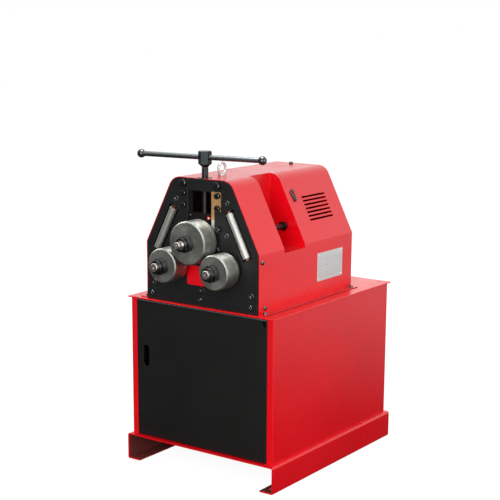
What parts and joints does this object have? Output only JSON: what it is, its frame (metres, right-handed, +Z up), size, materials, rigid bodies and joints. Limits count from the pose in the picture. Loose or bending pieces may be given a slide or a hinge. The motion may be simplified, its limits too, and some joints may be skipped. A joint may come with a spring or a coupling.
{
  "type": "ring roller",
  "caption": "Electric ring and profile bending roller with cantilevered rolls, a screw-down upper roll and a tommy bar on a sheet-steel cabinet stand.",
  "frame": {"origin": "on the floor, at the centre of the four floor bolt holes", "axes": "+Z up, -Y towards the operator at the rolls, +X to the operator's right"},
  "size_m": [0.635, 0.8953, 1.1297],
  "materials": {
    "red_paint": "semi-gloss powder coat",
    "black_paint": "fine textured satin",
    "pointer_paint": "gloss",
    "ground_steel": "ground",
    "roll_steel": "turned, lightly darkened",
    "turned_steel": "turned",
    "zinc_steel": "zinc plated",
    "black_oxide": "black oxide",
    "black_plastic": "satin",
    "copper_metal": "dull",
    "bronze": "turned",
    "scale_brass": "brushed",
    "cast_grey": "painted casting"
  },
  "bodies": {
    "stand_and_head": {"base_frame": "red_paint", "cabinet": "red_paint", "top_plate": "red_paint", "hinge_pins": "turned_steel", "door_catch": "black_plastic", "front_plate": "black_paint", "bridge_block": "black_paint", "bridge_bolts": "black_oxide", "foot_bar": "black_paint", "plate_screws": "black_oxide", "left_gib": "ground_steel", "right_gib": "ground_steel", "left_rail": "ground_steel", "right_rail": "ground_steel", "rail_screws": "black_oxide", "scale_plate": "scale_brass", "scale_bolts": "black_oxide", "window_panel": "red_paint", "left_guide_rod": "ground_steel", "right_guide_rod": "ground_steel", "rod_collars": "copper_metal", "rear_plate": "black_paint", "spacers": "turned_steel", "hood": "red_paint", "hood_screws": "zinc_steel", "spindle_nut": "bronze", "eye_bolt": "zinc_steel", "hook_plate": "black_paint", "gearbox": "cast_grey", "motor": "cast_grey", "lower_bearings": "turned_steel", "head_bolts": "zinc_steel"},
    "door": {"door": "black_paint"},
    "slide": {"slide_block": "ground_steel", "pointer": "pointer_paint", "upper_bearings": "turned_steel"},
    "spindle": {"spindle": "black_oxide", "hub": "black_paint"},
    "handle": {"tommy_bar": "black_oxide", "bar_ends": "black_plastic"},
    "upper_roll_set": {"upper_shaft": "turned_steel", "upper_roll": "roll_steel", "upper_rear_ring": "roll_steel", "upper_collar": "ground_steel", "upper_nut": "turned_steel"},
    "left_roll_set": {"left_shaft": "turned_steel", "left_roll": "roll_steel", "left_rear_ring": "roll_steel", "left_collar": "ground_steel", "left_nut": "turned_steel", "left_gear": "turned_steel"},
    "right_roll_set": {"right_shaft": "turned_steel", "right_roll": "roll_steel", "right_rear_ring": "roll_steel", "right_collar": "ground_steel", "right_nut": "turned_steel", "right_gear": "turned_steel"},
    "pinion": {"pinion_shaft": "turned_steel"},
    "left_screw": {"left_guide_screw": "black_oxide"},
    "right_screw": {"right_guide_screw": "black_oxide"}
  },
  "joints": [
    {"name": "door_swing", "type": "hinge", "parent": "stand_and_head", "child": "door", "pos_m": [0.2723, -0.371, 0.35], "axis": [0, 0, 1], "range_deg": [0, 105]},
    {"name": "upper_slide", "type": "slide", "parent": "stand_and_head", "child": "slide", "axis": [0, 0, 1], "range_m": [-0.008, 0.064]},
    {"name": "screw_turn", "type": "hinge", "parent": "slide", "child": "spindle", "pos_m": [0, -0.345, 1], "axis": [0, 0, 1], "range_deg": [-719, 5759]},
    {"name": "tommy_slide", "type": "slide", "parent": "spindle", "child": "handle", "axis": [0.9921, 0.1253, 0], "range_m": [-0.1765, 0.2115]},
    {"name": "upper_roll_turn", "type": "hinge", "parent": "slide", "child": "upper_roll_set", "pos_m": [0, -0.367, 0.8302], "axis": [0, 1, 0], "continuous": true},
    {"name": "left_roll_turn", "type": "hinge", "parent": "stand_and_head", "child": "left_roll_set", "pos_m": [-0.1085, -0.367, 0.7423], "axis": [0, 1, 0], "continuous": true},
    {"name": "right_roll_turn", "type": "hinge", "parent": "stand_and_head", "child": "right_roll_set", "pos_m": [0.1085, -0.367, 0.7423], "axis": [0, 1, 0], "continuous": true},
    {"name": "pinion_turn", "type": "hinge", "parent": "stand_and_head", "child": "pinion", "pos_m": [0, -0.367, 0.7423], "axis": [0, 1, 0], "continuous": true},
    {"name": "left_screw_turn", "type": "hinge", "parent": "stand_and_head", "child": "left_screw", "pos_m": [-0.1534, -0.367, 0.86], "axis": [0, 1, 0], "range_deg": [0, 720]},
    {"name": "right_screw_turn", "type": "hinge", "parent": "stand_and_head", "child": "right_screw", "pos_m": [0.1534, -0.367, 0.86], "axis": [0, 1, 0], "range_deg": [0, 720]}
  ],
  "couplings": [
    {"joint": "upper_slide", "follows": "screw_turn", "m_per_rad": 0.00063662},
    {"joint": "right_roll_turn", "follows": "left_roll_turn", "ratio": 1},
    {"joint": "pinion_turn", "follows": "left_roll_turn", "ratio": -1.9524}
  ]
}
